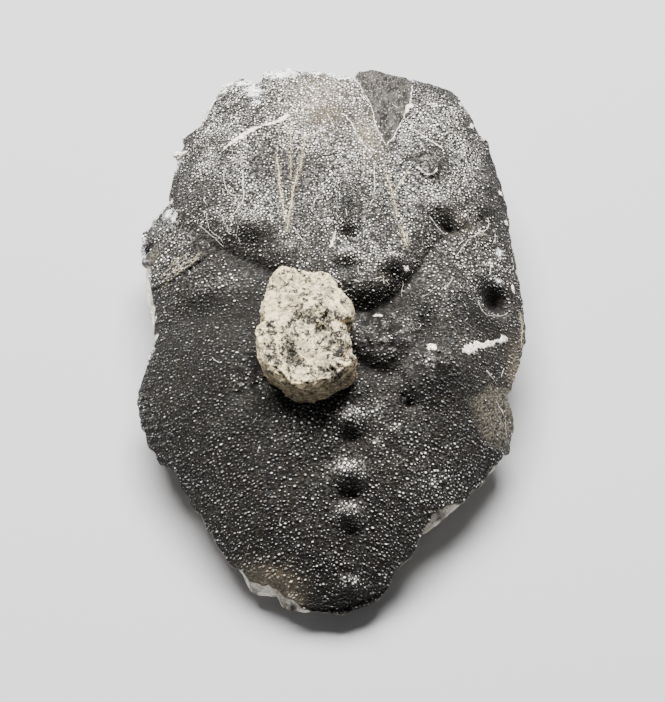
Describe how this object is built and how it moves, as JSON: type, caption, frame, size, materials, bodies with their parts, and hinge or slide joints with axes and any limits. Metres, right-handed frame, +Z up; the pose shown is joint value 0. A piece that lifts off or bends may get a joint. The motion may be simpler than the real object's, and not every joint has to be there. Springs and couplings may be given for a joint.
{
  "type": "fossil crab",
  "caption": "Fossil crab: a dark, domed and granulated back shield with a deep front groove and a row of bosses, over pale rock, with a lump of tan rock on its back.",
  "frame": {"origin": "in the flat underside that the fossil rests on, below the middle of its back", "axes": "+Y to the crab's front edge, +Z up out of its back, +X to the right when seen from above with the front away from the viewer"},
  "size_m": [0.0471, 0.0681, 0.0253],
  "materials": {
    "shell": "satin",
    "pale_rock": "rough",
    "tan_rock": "rough"
  },
  "bodies": {
    "root": {"carapace": "shell", "matrix_infill": "pale_rock", "matrix_lump": "tan_rock"}
  },
  "joints": []
}
